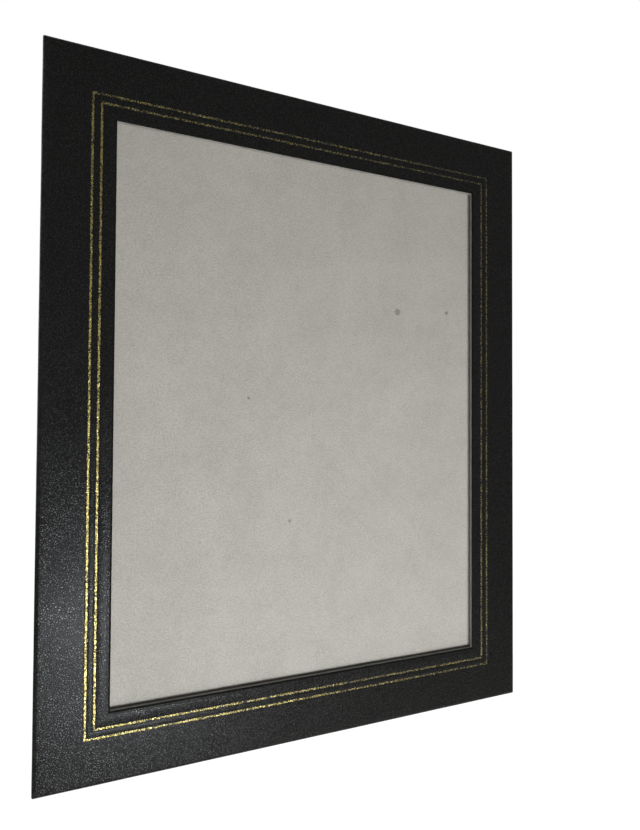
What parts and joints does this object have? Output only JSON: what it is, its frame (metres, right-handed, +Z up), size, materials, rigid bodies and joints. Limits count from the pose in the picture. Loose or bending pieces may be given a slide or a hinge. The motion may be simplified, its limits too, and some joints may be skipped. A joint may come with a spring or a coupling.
{
  "type": "paper certificate frame",
  "caption": "Flat wall frame of greyboard covered with black leather-grain paper, with double gold border lines and a slide-in pocket for a letter-size certificate.",
  "frame": {"origin": "centre of the flat back face, where the frame lies against a wall", "axes": "+X to the right as seen from the front, +Y into the wall (the front faces -Y), +Z up"},
  "size_m": [0.2666, 0.0056, 0.3302],
  "materials": {
    "leather_paper": "satin",
    "gold_foil": "satin",
    "greyboard": "matte"
  },
  "bodies": {
    "root": {"front_cover": "leather_paper", "front_board": "greyboard", "gold_line_outer": "gold_foil", "gold_line_inner": "gold_foil", "spacer_left": "greyboard", "spacer_right": "greyboard", "spacer_bottom": "greyboard", "back_board": "greyboard"}
  },
  "joints": []
}
